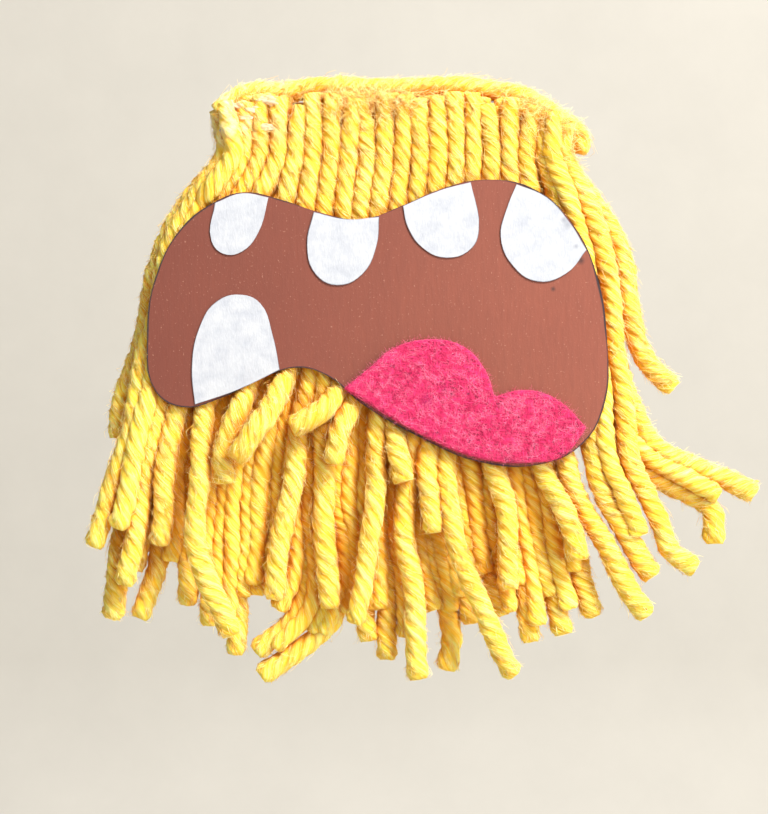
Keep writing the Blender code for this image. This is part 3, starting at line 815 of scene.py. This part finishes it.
rear = STRANDS["rear_strand"]
left = STRANDS["left_strand"]
right = STRANDS["right_strand"]
inner_pairs = [("rear_curtain", a, b, share) for a, b in zip(rear, rear[1:]) for share in (0.3, 0.75)]
inner_pairs += [("left_lock", left[0], left[2], 0.5), ("left_lock", left[2], left[4], 0.5),
                ("left_lock", left[1], left[3], 0.5), ("left_lock", left[4], rear[0], 0.5)]
inner_pairs += [("right_lock", right[2], right[3], 0.5), ("right_lock", right[0], right[1], 0.4),
                ("right_lock", rear[13], right[2], 0.5)]
for number, (body, a, b, share) in enumerate(inner_pairs, 1):
    route = between(a, b, share, rng.uniform(1.0, 2.3), rng.uniform(0.87, 0.99))
    x, y, z = route[0]
    strand, line = yarn_strand(f"yarn_inner_{number:02d}", glued_part(x, y) + route,
                               full=rng.uniform(0.90, 1.0), short=260, long=70, tuft=70,
                               tight_until=28.0, behind_card=True)
    hang(strand)
print(len(inner_pairs), "inner strands")

# %% [markdown]
# ## The trim strand
#
# One more length of the same yarn is glued along the stick's top edge and down its round
# end, so it hides the cut tops. It is glued all the way and never hangs free, so it rides
# on the head. It was handled most, so it is the fuzziest.

# %% Trim strand
TRIM = [
    (-34.7, -6.3, 39.3), (-31.9, -6.3, 41.2), (-27.6, -5.4, 43.2), (-21.0, -5.2, 43.1),
    (-13.7, -5.2, 44.2), (-1.3, -5.2, 43.9), (11.4, -5.2, 44.3), (20.0, -5.4, 43.2),
    (24.6, -6.3, 42.0), (29.8, -6.3, 38.9), (34.3, -6.4, 35.9), (35.4, -6.4, 33.7), (34.9, -6.6, 31.4),
]
trim, trim_line = yarn_strand("yarn_trim", TRIM, full=0.95, short=1300, long=420, wander=0.12, lay=15.0)
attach(trim, "head")
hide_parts("trim_strand")
print("trim strand", round(path_lengths(trim_line)[-1] / MM), "mm")

# %% [markdown]
# The cut tops under the trim have felted together from handling. A loose mat of longer
# fibres, which wander mostly sideways between the trim and the tops, ties them together. It
# is thickest left of the middle and at the right end, where it was rubbed most.

# %% Matted tops
MAT_FIBRES = 2400
MAT_PATCHES = [(-13.0, 3.0), (24.0, 34.0), (-31.5, 32.0)]
curve = fibre_curve("yarn_mat")
for _ in range(MAT_FIBRES):
    x = rng.uniform(*rng.choice(MAT_PATCHES))
    if min(abs(x - spot) for spot in BARE_SPOTS) < 1.6:
        continue
    top = band_height(x)
    point = Vector((x, rng.uniform(-12.2, -6.5), top - min(8.0, rng.expovariate(1 / 2.4)) + 0.5)) * MM
    heading = rng.uniform(0, 2 * math.pi)
    reach = rng.uniform(0.4, 0.9) * MM
    points = [point]
    for k in range(4):
        heading += rng.uniform(-0.8, 0.8)
        step = Vector((math.cos(heading) * 1.1, rng.uniform(-0.25, 0.25), math.sin(heading) * 0.9))
        points.append(points[-1] + step * reach)
    add_fibre(curve, points, 0.6)
mat = joined("yarn_mat", [weld(curve_to_mesh("yarn_mat", curve))], [filament])
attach(mat, "head")
print("matted fibres:", MAT_FIBRES)

# %% [markdown]
# ## Mouth card
#
# The mouth is cut from brown craft card along a line drawn with a dark pencil, and part of
# that line is left along the cut edge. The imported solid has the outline, so a copy of it is
# welded and its two flat sides made one face each. Insetting the sides gives a narrow border
# that a point attribute marks, and the finish draws the line there. Noise breaks it up, as
# scissors cut inside the line in some places and outside it in others.

# %% Mouth card shape
LINE_WIDTH = 0.55 * MM


def merged_copy(source):
    """A welded copy of a CAD node's mesh with each flat side made one face, as a bmesh."""
    bm = bmesh.new()
    bm.from_mesh(nodes[source].data)
    bmesh.ops.remove_doubles(bm, verts=bm.verts, dist=0.004 * MM)
    bmesh.ops.recalc_face_normals(bm, faces=bm.faces)
    bmesh.ops.dissolve_limit(bm, angle_limit=math.radians(1), verts=bm.verts, edges=bm.edges)
    return bm


def finished(name, bm, material, smooth=False):
    """An object from a bmesh, at the origin, with its material."""
    mesh = bpy.data.meshes.new(name)
    for face in bm.faces:
        face.smooth = smooth
    bm.to_mesh(mesh)
    bm.free()
    mesh.materials.append(material)
    obj = bpy.data.objects.new(name, mesh)
    bpy.context.scene.collection.objects.link(obj)
    return obj


def flat_sides(bm):
    """The two flat sides of a cut sheet that lies in the X-Z plane."""
    return sorted(bm.faces, key=lambda face: face.calc_area())[-2:]


def outlined_copy(source, width):
    """A copy of a cut sheet whose flat sides have a border that the edge_line attribute marks."""
    bm = merged_copy(source)
    marker = bm.verts.layers.float.new("edge_line")
    for vert in bm.verts:
        vert[marker] = 1.0
    bmesh.ops.inset_region(bm, faces=flat_sides(bm), thickness=width, depth=0.0, use_even_offset=True)
    inner = {vert for side in flat_sides(bm) for vert in side.verts}
    for vert in bm.verts:
        vert[marker] = 0.0 if vert in inner else 1.0
    return bm


card, tree, shader = new_material("brown_card")
mouth = finished("mouth", outlined_copy("mouth_card", LINE_WIDTH), card)
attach(mouth, "front_curtain")
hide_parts("mouth_card")

# %% [markdown]
# The card is matt with a soft shine. Under a lens it has a fine vertical grain from the
# paper machine and light specks of fibre. It is painted a little redder and darker towards
# its left end, away from the key light: painted shade. The grain is the shared fibre group,
# stretched along Z.

# %% Card material
PENCIL = (0.018, 0.014, 0.016)
CARD_MARKS = [(34.8, 10.5, 1.0), (34.0, 11.3, 0.7), (29.6, 5.1, 0.6)]
coords = tree.nodes.new("ShaderNodeTexCoord")
grain = fibre_mask(tree, coords.outputs["Object"], (1500.0, 1500.0, 260.0), 1.8)
speck = node(tree, "ShaderNodeTexNoise", Vector=coords.outputs["Object"], Scale=2600.0, Detail=2.0)
cloud = node(tree, "ShaderNodeTexNoise", Vector=coords.outputs["Object"], Scale=55.0, Detail=3.0)
place = node(tree, "ShaderNodeSeparateXYZ", i0=coords.outputs["Object"])
# Painted shade: darker and redder towards the left end, away from the key light, with random cloudy tone.
across = node(tree, "ShaderNodeMapRange", i0=place, i1=-0.045, i2=0.036, i3=0.0, i4=1.0)
painted_shade_and_tone = calc(tree, "ADD", calc(tree, "MULTIPLY", across, 0.75), calc(tree, "MULTIPLY", cloud, 0.35))
base = ramp(tree, painted_shade_and_tone, (0.1, (0.152, 0.0375, 0.0235)), (0.95, (0.250, 0.0680, 0.0400)))
base = mix(tree, calc(tree, "MULTIPLY", grain, 0.30), base, (0.125, 0.033, 0.021))
pale = node(tree, "ShaderNodeMapRange", i0=speck, i1=0.66, i2=0.74, i3=0.0, i4=0.55)
base = mix(tree, pale, base, (0.40, 0.19, 0.13))
base = smudged(tree, coords, base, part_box("mouth_card")[0].y, CARD_MARKS, 0.9, PENCIL)
drawn = drawn_line(tree, coords, Scale=70.0, Middle=0.52, Wander=2.6, Start=0.42, Full=0.72, Darkness=0.92)
base = mix(tree, drawn, base, PENCIL)
tree.links.new(base, shader.inputs["Base Color"])
tree.links.new(node(tree, "ShaderNodeMapRange", i0=grain, i1=0.0, i2=1.0, i3=0.50, i4=0.64),
               shader.inputs["Roughness"])
tree.links.new(bump(tree, calc(tree, "ADD", grain, speck), 0.30, 0.00006), shader.inputs["Normal"])
shader.inputs["Specular IOR Level"].default_value = 0.4
print("card:", len(tree.nodes), "nodes")

# %% [markdown]
# ## Teeth
#
# Each tooth is plain white paper, 0.2 mm thick, stuck flat on the card. Its shape is the
# imported solid's, copied and given a narrow border in the same way as the card, and the
# finish draws a dark line there, broken by noise. Paper isn't pure white: it has a faint cool
# mottle where the fibres clump, a soft surface that catches grazing light, and a few smudges
# of graphite where a finger has dragged the pencil near the last tooth's edge.

# %% Paper material
PAPER_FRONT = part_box("upper_tooth_4")[0].y
PAPER_MARKS = [(32.3, 17.3, 1.1), (31.6, 18.2, 0.8), (33.9, 13.2, 0.6)]
paper, tree, shader = new_material("white_paper")
coords = tree.nodes.new("ShaderNodeTexCoord")
clump = node(tree, "ShaderNodeTexNoise", Vector=coords.outputs["Object"], Scale=420.0, Detail=5.0,
             Roughness=0.65)
felted = fibre_mask(tree, coords.outputs["Object"], (2400.0, 2400.0, 900.0), 2.0)
base = ramp(tree, clump, (0.30, (0.37, 0.39, 0.44)), (0.66, (0.485, 0.50, 0.53)))
base = mix(tree, calc(tree, "MULTIPLY", felted, 0.25), base, (0.53, 0.54, 0.56))
# A dark line along each tooth's cut edge, broken by noise.
drawn = drawn_line(tree, coords, Scale=110.0, Middle=0.5, Wander=3.0, Start=0.45, Full=0.95, Darkness=0.75)
base = mix(tree, drawn, base, (0.06, 0.05, 0.075))
base = smudged(tree, coords, base, PAPER_FRONT, PAPER_MARKS, clump, (0.08, 0.09, 0.14))
tree.links.new(base, shader.inputs["Base Color"])
tree.links.new(node(tree, "ShaderNodeMapRange", i0=clump, i1=0.3, i2=0.7, i3=0.72, i4=0.86),
               shader.inputs["Roughness"])
tree.links.new(bump(tree, calc(tree, "ADD", clump, felted), 0.35, 0.00008), shader.inputs["Normal"])
print("paper:", len(tree.nodes), "nodes")

# %% Teeth shapes
TEETH = ["upper_tooth_1", "upper_tooth_2", "upper_tooth_3", "upper_tooth_4", "lower_tooth"]
for name in TEETH:
    tooth = finished("paper_" + name, outlined_copy(name, 0.16 * MM), paper)
    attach(tooth, "front_curtain")
    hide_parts(name)
print("teeth:", len(TEETH))

# %% [markdown]
# ## Felt tongue
#
# Craft felt is a mat of tangled pink fibres about a millimetre thick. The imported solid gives
# its outline. A copy is remeshed into small even faces and smoothed, which rounds its cut
# edge, and gentle noise makes its surface uneven. Then several thousand loose fibres are
# laid over it: short curly filaments, paler than the felt, that stand up along its edge too.

# %% Felt material
FELT_MARKS = [(5.6, -16.0, 1.7), (9.1, -13.9, 1.4), (27.7, -14.6, 1.3)]
felt, tree, shader = new_material("pink_felt")
coords = tree.nodes.new("ShaderNodeTexCoord")
mat_a = fibre_mask(tree, coords.outputs["Object"], (2600.0, 2600.0, 600.0), 3.2)
mat_b = fibre_mask(tree, coords.outputs["Object"], (600.0, 2600.0, 2600.0), 3.2)
cloud = node(tree, "ShaderNodeTexNoise", Vector=coords.outputs["Object"], Scale=260.0, Detail=4.0)
tangled = calc(tree, "MAXIMUM", mat_a, mat_b)
base = ramp(tree, calc(tree, "MULTIPLY", calc(tree, "ADD", tangled, cloud), 0.5),
            (0.26, (0.17, 0.002, 0.030)), (0.50, (0.52, 0.008, 0.080)), (0.82, (0.76, 0.020, 0.150)))
# Painted shade: dark specks where the felt has small holes between its fibres.
felt_pore_noise = node(tree, "ShaderNodeTexNoise", Vector=coords.outputs["Object"], Scale=700.0, Detail=1.0)
pore_shade = node(tree, "ShaderNodeMapRange", i0=felt_pore_noise, i1=0.33, i2=0.27, i3=0.0, i4=0.75)
base = mix(tree, pore_shade, base, (0.16, 0.006, 0.045))
base = smudged(tree, coords, base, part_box("tongue")[0].y, FELT_MARKS, cloud, (0.10, 0.004, 0.09))
tree.links.new(base, shader.inputs["Base Color"])
tree.links.new(node(tree, "ShaderNodeMapRange", i0=tangled, i1=0.0, i2=1.0, i3=0.98, i4=0.82),
               shader.inputs["Roughness"])
tree.links.new(bump(tree, calc(tree, "ADD", tangled, cloud), 0.8, 0.0003), shader.inputs["Normal"])
shader.inputs["Sheen Weight"].default_value = 0.5
shader.inputs["Sheen Roughness"].default_value = 0.45
shader.inputs["Sheen Tint"].default_value = (1.0, 0.35, 0.5, 1)
print("felt:", len(tree.nodes), "nodes")

pink_fibre, tree, shader = new_material("pink_filament")
coords = tree.nodes.new("ShaderNodeTexCoord")
patch = node(tree, "ShaderNodeTexNoise", Vector=coords.outputs["Object"], Scale=800.0, Detail=1.0)
tree.links.new(ramp(tree, patch, (0.38, (0.70, 0.02, 0.13)), (0.62, (0.95, 0.20, 0.36))),
               shader.inputs["Base Color"])
shader.inputs["Roughness"].default_value = 0.6

# %% Felt tongue shape
FELT_VOXEL = 0.34 * MM
FELT_FIBRES = 3200
bm = merged_copy("tongue")
flat_area = flat_sides(bm)[0].calc_area()
felt_block = finished("felt_block", bm, felt)
remesh = felt_block.modifiers.new("felt_remesh", "REMESH")
remesh.mode = "VOXEL"
remesh.voxel_size = FELT_VOXEL
remesh.use_smooth_shade = True
relax = felt_block.modifiers.new("felt_relax", "SMOOTH")
relax.factor = 0.5
relax.iterations = 3
bpy.context.view_layer.update()
soft = bpy.data.meshes.new_from_object(felt_block.evaluated_get(bpy.context.evaluated_depsgraph_get()))
bpy.data.objects.remove(felt_block)
fronts = [v.co.copy() for v in soft.vertices if v.normal.y < -0.6]
rims = [(v.co.copy(), v.normal.copy()) for v in soft.vertices if abs(v.normal.y) < 0.5]

felt_tree = BVHTree.FromPolygons([v.co for v in soft.vertices], [tuple(f.vertices) for f in soft.polygons])

# %% Felt fibres
curve = fibre_curve("felt_fibres")
for _ in range(FELT_FIBRES):
    base = rng.choice(fronts)
    heading = rng.uniform(0, 2 * math.pi)
    reach = rng.uniform(0.8, 4.5) * MM
    bend = rng.uniform(-1.8, 1.8)
    lift = min(rng.expovariate(1 / 0.07), 0.35) * MM
    points = [base + Vector((0, 0.06 * MM, 0))]
    for k in range(1, 6):
        heading += bend / 5 + rng.uniform(-0.3, 0.3)
        ahead = Vector((math.cos(heading), 0, math.sin(heading))) * reach / 5
        if felt_tree.ray_cast(points[-1] + ahead - Vector((0, 0.1, 0)), Vector((0, 1, 0)))[0] is None:
            break
        points.append(points[-1] + ahead)
        points[-1].y = base.y + (0.02 * MM - lift * math.sin(math.pi * k / 6))
    if len(points) > 2:
        add_fibre(curve, points, 0.45)
for _ in range(FELT_FIBRES // 3):
    base, out = rng.choice(rims)
    reach = min(0.9, 0.12 + rng.expovariate(1 / 0.20)) * MM
    drift = Vector((rng.uniform(-1, 1), rng.uniform(-0.6, 0.2), rng.uniform(-1, 1))) * 0.8
    middle = base + (out + drift * 0.4) * reach * 0.5
    add_fibre(curve, [base - out * 0.1 * MM, middle, base + (out + drift) * reach], 0.35)
pile = joined("felt_fibres", [weld(curve_to_mesh("felt_fibres", curve))], [pink_fibre])
tongue = joined("felt_tongue", [soft], [felt])
for piece in (tongue, pile):
    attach(piece, "front_curtain")
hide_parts("tongue")
print("tongue", round(flat_area / MM ** 2), "square mm,", len(tongue.data.polygons), "faces")

# %% [markdown]
# ## Craft sticks
#
# Craft sticks are stamped from rotary-cut birch: pale, tight-grained, with fine darker lines
# along their length and short pores. Both packed sticks have the right shape and keep it.
# The grain runs along X on the crossbar and along Z on the handle, so the wood is made once
# for each direction, by stretching the same pattern along that axis. Each stick gets a faint
# stain from fingers and glue, in random patches.

# %% Wood material
def birch(name, stretch):
    """Birch with its grain along the axis whose stretch is smallest."""
    wood, tree, shader = new_material(name)
    coords = tree.nodes.new("ShaderNodeTexCoord")
    grain = fibre_mask(tree, coords.outputs["Object"], [v * 900.0 for v in stretch], 2.6)
    bands = fibre_mask(tree, coords.outputs["Object"], [v * 240.0 for v in stretch], 1.8)
    pores = fibre_mask(tree, coords.outputs["Object"], [v * 3200.0 for v in stretch], 6.0)
    tone = calc(tree, "ADD", calc(tree, "MULTIPLY", grain, 0.45), calc(tree, "MULTIPLY", bands, 0.55))
    base = ramp(tree, tone, (0.12, (0.52, 0.31, 0.17)), (0.5, (0.68, 0.46, 0.28)), (0.9, (0.80, 0.60, 0.41)))
    pore = node(tree, "ShaderNodeMapRange", i0=pores, i1=0.12, i2=0.0, i3=0.0, i4=0.35)
    base = mix(tree, pore, base, (0.33, 0.18, 0.10))
    worn = node(tree, "ShaderNodeTexNoise", Vector=coords.outputs["Object"], Scale=60.0, Detail=4.0)
    stain = node(tree, "ShaderNodeMapRange", i0=worn, i1=0.52, i2=0.75, i3=0.0, i4=0.35)
    base = mix(tree, stain, base, (0.50, 0.36, 0.26))
    tree.links.new(base, shader.inputs["Base Color"])
    tree.links.new(node(tree, "ShaderNodeMapRange", i0=tone, i1=0.0, i2=1.0, i3=0.72, i4=0.55),
                   shader.inputs["Roughness"])
    tree.links.new(bump(tree, calc(tree, "ADD", grain, pores), 0.35, 0.00012), shader.inputs["Normal"])
    return wood


for name, stretch in (("crossbar_stick", (0.05, 1.0, 1.0)), ("handle_stick", (1.0, 1.0, 0.05))):
    stick = nodes[name].data
    stick.materials.clear()
    stick.materials.append(birch("birch_" + name, stretch))

# %% [markdown]
# ## Hot glue
#
# Set hot glue is milky and clear at once, glossy, and never tidy. Each dab is a sphere that
# is flattened and pushed about by noise, and a few of them overlap where the nozzle stopped
# and moved on. The thin, half-clear dabs at the left end of the band are the ones that
# show. Behind, glue has squeezed out along both edges of the handle where it crosses the
# crossbar.

# %% Glue material
glue, tree, shader = new_material("hot_glue")
coords = tree.nodes.new("ShaderNodeTexCoord")
milk = node(tree, "ShaderNodeTexNoise", Vector=coords.outputs["Object"], Scale=420.0, Detail=3.0)
tree.links.new(ramp(tree, milk, (0.3, (0.96, 0.82, 0.48)), (0.7, (0.98, 0.92, 0.74))),
               shader.inputs["Base Color"])
tree.links.new(node(tree, "ShaderNodeMapRange", i0=milk, i1=0.3, i2=0.7, i3=0.28, i4=0.45),
               shader.inputs["Roughness"])
tree.links.new(bump(tree, milk, 0.25, 0.0003), shader.inputs["Normal"])
shader.inputs["Transmission Weight"].default_value = 0.2
shader.inputs["IOR"].default_value = 1.48
shader.inputs["Alpha"].default_value = 0.6
shader.inputs["Coat Weight"].default_value = 0.3
shader.inputs["Coat Roughness"].default_value = 0.1
print("glue:", len(tree.nodes), "nodes")

# %% Glue dabs
def glue_dabs(name, spots, unevenness):
    """Several flattened, uneven dabs as one piece: each spot is (centre, half sizes) in mm."""
    bm = bmesh.new()
    for centre, half in spots:
        made = bmesh.ops.create_icosphere(bm, subdivisions=4, radius=1.0)["verts"]
        for vert in made:
            vert.co *= 1 + unevenness * noise.noise(vert.co * 1.6 + Vector(centre)) * 1.6
        bmesh.ops.scale(bm, verts=made, vec=Vector(half) * MM)
        bmesh.ops.translate(bm, verts=made, vec=Vector(centre) * MM)
    return finished(name, bm, glue, smooth=True)


CORNER_SPOTS = [
    ((-23.9, -10.40, 40.9), (1.6, 0.62, 0.9)), ((-26.1, -10.35, 41.2), (0.9, 0.55, 0.5)),
    ((-30.3, -10.40, 40.0), (1.5, 0.62, 0.7)), ((-27.8, -10.60, 39.3), (1.4, 0.60, 0.6)),
    ((-31.0, -10.95, 35.3), (2.3, 0.60, 0.8)), ((-32.2, -10.80, 36.9), (1.3, 0.60, 0.8)),
    ((-24.6, -10.95, 35.9), (1.3, 0.58, 0.6)), ((-29.2, -10.85, 37.6), (1.5, 0.58, 0.5)),
    ((-31.6, -8.60, 40.4), (1.0, 0.50, 0.4)),
]
dabs = glue_dabs("glue_at_left_end", CORNER_SPOTS, 0.45)
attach(dabs, "head")
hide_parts("corner_glue")

SQUEEZED = [((side * rng.uniform(8.9, 9.6), -2.0, z), (rng.uniform(0.9, 1.5), 0.75, rng.uniform(1.5, 2.3)))
            for side in (-1, 1) for z in (24.6, 27.3, 30.4, 33.1, 36.0, 38.4)]
bead = glue_dabs("glue_behind_handle", SQUEEZED, 0.25)
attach(bead, "head")
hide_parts("handle_glue")

for number in (1, 2, 3):
    dab = nodes[f"mouth_glue_{number}"].data
    dab.materials.clear()
    dab.materials.append(glue)
print("glue dabs:", len(CORNER_SPOTS) + len(SQUEEZED) + 3)

# %% [markdown]
# ## Stage and lights
#
# A pale sweep, floor and wall in one bent sheet, stands behind and under the puppet. It is
# far enough back that a camera behind the puppet still stands in front of it, and it glows a
# little, which evens it out and lights nothing but the puppet's back. The key light comes
# from above and the right. Weaker ones fill in from both sides and from the front, and one
# behind the puppet keeps its back from going dark. The world is dim, so that the gaps
# between the strands stay deep, but the camera sees it pale.

# %% Stage
SWEEP_COLOUR = (0.418, 0.398, 0.357)
SWEEP_GLOW = 0.35
bm = bmesh.new()
front_edge = [bm.verts.new((side * 3.0, -1.6, -0.27)) for side in (-1, 1)]
bm.edges.new(front_edge)
loop = list(bm.edges)
corner = [Vector((0, 0.03 * math.cos(a), 0.03 * math.sin(a))) for a in (0.2, 0.5, 0.8, 1.1, 1.4)]
bends = [Vector((0, 2.18, 0))] + corner + [Vector((0, 0, 2.4))]
for step in bends:
    grown = bmesh.ops.extrude_edge_only(bm, edges=loop)["geom"]
    bmesh.ops.translate(bm, verts=[g for g in grown if isinstance(g, bmesh.types.BMVert)], vec=step)
    loop = [g for g in grown if isinstance(g, bmesh.types.BMEdge)]
bmesh.ops.reverse_faces(bm, faces=[face for face in bm.faces if face.normal.z + -face.normal.y < 0])
sweep_material, tree, shader = new_material("plaster_sweep")
coords = tree.nodes.new("ShaderNodeTexCoord")
mottle = node(tree, "ShaderNodeTexNoise", Vector=coords.outputs["Object"], Scale=14.0, Detail=8.0,
              Roughness=0.7)
plaster = ramp(tree, mottle, (0.3, tuple(c * 0.94 for c in SWEEP_COLOUR)), (0.7, SWEEP_COLOUR))
tree.links.new(plaster, shader.inputs["Base Color"])
tree.links.new(plaster, shader.inputs["Emission Color"])
shader.inputs["Emission Strength"].default_value = SWEEP_GLOW
shader.inputs["Roughness"].default_value = 0.95
shader.inputs["Specular IOR Level"].default_value = 0.1
sweep = finished("sweep", bm, sweep_material, smooth=True)
print("sweep:", len(sweep.data.polygons), "faces")

# %% Lights
WORLD_COLOUR = (1.0, 0.97, 0.92, 1)
WORLD_SEEN = 0.78
WORLD_LIGHT = 0.21


def soft_light(name, place, size, power, colour=(1, 1, 1)):
    """A round area light that faces the middle of the view; returns its power in watts."""
    lamp = bpy.data.lights.new(name, "AREA")
    lamp.shape = "DISK"
    lamp.size = size
    lamp.energy = power
    lamp.color = colour
    obj = bpy.data.objects.new(name, lamp)
    obj.location = place
    obj.rotation_euler = (VIEW_MIDDLE - Vector(place)).to_track_quat("-Z", "Y").to_euler()
    bpy.context.scene.collection.objects.link(obj)
    return power


watts = soft_light("key", (0.52, -0.58, 0.80), 0.34, 25.0, (1.0, 0.98, 0.95))
watts += soft_light("right_fill", (0.80, -0.55, 0.10), 0.60, 5.8)
watts += soft_light("left_fill", (-0.80, -0.50, 0.25), 0.60, 1.0)
watts += soft_light("front", (0.25, -1.0, 0.25), 0.50, 2.2)
watts += soft_light("behind", (0.35, 0.45, 0.80), 0.50, 6.0)
print("lights:", round(watts, 1), "W in all")
world = bpy.data.worlds.new("studio")
world.use_nodes = True
tree = world.node_tree
dim = tree.nodes["Background"]
dim.inputs["Color"].default_value = WORLD_COLOUR
dim.inputs["Strength"].default_value = WORLD_LIGHT
seen = node(tree, "ShaderNodeBackground", Color=WORLD_COLOUR, Strength=WORLD_SEEN)
ray = tree.nodes.new("ShaderNodeLightPath")
surface = node(tree, "ShaderNodeMixShader", i0=ray.outputs["Is Camera Ray"], i1=dim.outputs[0], i2=seen)
tree.links.new(surface, tree.nodes["World Output"].inputs["Surface"])
bpy.context.scene.world = world
bpy.context.scene.view_settings.view_transform = "Standard"
bpy.context.scene.view_settings.exposure = 0.0

# %% [markdown]
# ## Tidy up and finish
#
# The section curves have done their work.

# %% Finish
for section in (ply_section, fibre_section):
    bpy.data.objects.remove(section)
